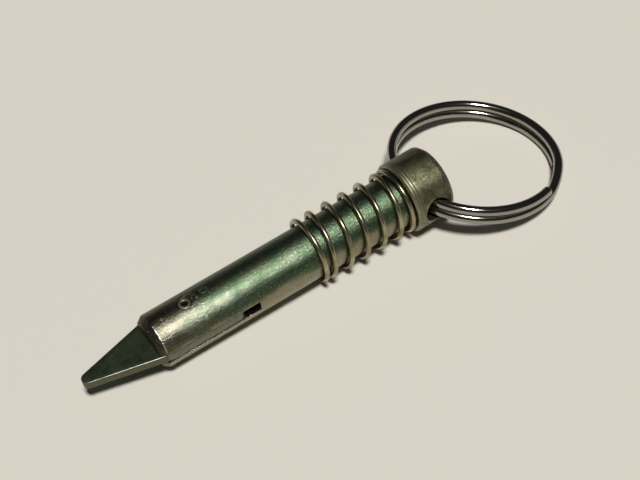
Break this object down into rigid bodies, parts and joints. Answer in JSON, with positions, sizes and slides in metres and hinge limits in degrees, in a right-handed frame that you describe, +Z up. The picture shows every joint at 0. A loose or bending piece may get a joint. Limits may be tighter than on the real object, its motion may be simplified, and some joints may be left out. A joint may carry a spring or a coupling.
{
  "type": "toggle pin",
  "caption": "Headed steel locking pin with a pivoting toggle blade in its slotted nose, a compression spring against its head and a split ring through the head.",
  "frame": {"origin": "centre of the overall box, on the surface the pin lies on", "axes": "+X from the ring towards the toggle's tip, along the pin as it lies; +Z up"},
  "size_m": [0.0934, 0.0308, 0.013],
  "materials": {
    "plated_steel": "zinc plated, satin, faintly iridescent, scratched",
    "blade_steel": "dull plated sheet, bright worn edges",
    "pivot_steel": "punched ends, satin",
    "spring_steel": "plated spring wire",
    "ring_nickel": "polished nickel plate"
  },
  "bodies": {
    "pin": {"shank": "plated_steel", "pivot_pin": "pivot_steel"},
    "toggle": {"toggle_blade": "blade_steel"},
    "ring": {"split_ring": "ring_nickel"},
    "spring": {"spring": "spring_steel"}
  },
  "joints": [
    {"name": "toggle_swing", "type": "hinge", "parent": "pin", "child": "toggle", "pos_m": [0.027, 0.0011, 0.00497], "axis": [0.0344, 0, 0.9994], "range_deg": [-140, 140]},
    {"name": "ring_swing", "type": "hinge", "parent": "pin", "child": "ring", "pos_m": [-0.01803, 0.0011, 0.00651], "axis": [0, 1, 0], "range_deg": [-154, 177]},
    {"name": "spring_press", "type": "slide", "parent": "pin", "child": "spring", "axis": [-0.9994, 0, 0.0344], "range_m": [0, 0.011], "stiffness_N_per_m": 900, "deforming": ["spring"]}
  ]
}
